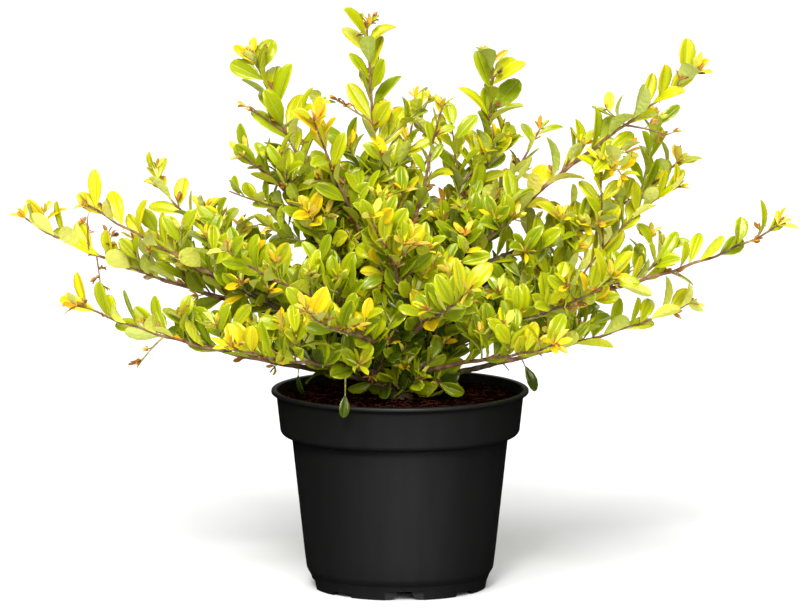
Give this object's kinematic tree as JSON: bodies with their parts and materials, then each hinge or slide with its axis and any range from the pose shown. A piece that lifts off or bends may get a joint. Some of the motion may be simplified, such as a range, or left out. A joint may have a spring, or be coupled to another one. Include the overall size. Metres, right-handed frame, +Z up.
{
  "type": "potted japanese holly",
  "caption": "Low, wide japanese holly shrub with golden leaves on long arching boughs, growing in a round black nursery pot filled with soil.",
  "frame": {"origin": "middle of the pot's underside, at ground level", "axes": "+Z up, +X to the plant's right in the picture, -Y towards the picture's camera"},
  "size_m": [0.5869, 0.4196, 0.4327],
  "materials": {
    "black_plastic": "satin black moulded plastic",
    "potting_soil": "dark moist crumbly potting soil",
    "bark": "thin brown bark",
    "golden_leaves": "small leathery golden-green leaves"
  },
  "bodies": {
    "root": {"pot": "black_plastic", "soil": "potting_soil", "trunk": "bark", "bough_left_long": "bark", "bough_left_front": "bark", "bough_left_back": "bark", "bough_left_low": "bark", "bough_upper_left": "bark", "bough_left_middle": "bark", "bough_centre_left": "bark", "bough_top_centre": "bark", "bough_centre_right": "bark", "bough_upper_right": "bark", "bough_right_upper": "bark", "bough_right_high": "bark", "bough_right_middle": "bark", "bough_right_long": "bark", "bough_right_low": "bark", "bough_front_right": "bark", "bough_front_right_low": "bark", "bough_front_middle": "bark", "bough_front_upper": "bark", "bough_front_left": "bark", "bough_front_left_low": "bark", "bough_front_left_high": "bark", "bough_back_left_low": "bark", "bough_back_left": "bark", "bough_back_middle": "bark", "bough_back_right": "bark", "bough_back_right_low": "bark", "bough_back_high": "bark", "foliage_left_long": "golden_leaves", "foliage_left_front": "golden_leaves", "foliage_left_back": "golden_leaves", "foliage_left_low": "golden_leaves", "foliage_upper_left": "golden_leaves", "foliage_left_middle": "golden_leaves", "foliage_centre_left": "golden_leaves", "foliage_top_centre": "golden_leaves", "foliage_centre_right": "golden_leaves", "foliage_upper_right": "golden_leaves", "foliage_right_upper": "golden_leaves", "foliage_right_high": "golden_leaves", "foliage_right_middle": "golden_leaves", "foliage_right_long": "golden_leaves", "foliage_right_low": "golden_leaves", "foliage_front_right": "golden_leaves", "foliage_front_right_low": "golden_leaves", "foliage_front_middle": "golden_leaves", "foliage_front_upper": "golden_leaves", "foliage_front_left": "golden_leaves", "foliage_front_left_low": "golden_leaves", "foliage_front_left_high": "golden_leaves", "foliage_back_left_low": "golden_leaves", "foliage_back_left": "golden_leaves", "foliage_back_middle": "golden_leaves", "foliage_back_right": "golden_leaves", "foliage_back_right_low": "golden_leaves", "foliage_back_high": "golden_leaves"}
  },
  "joints": []
}
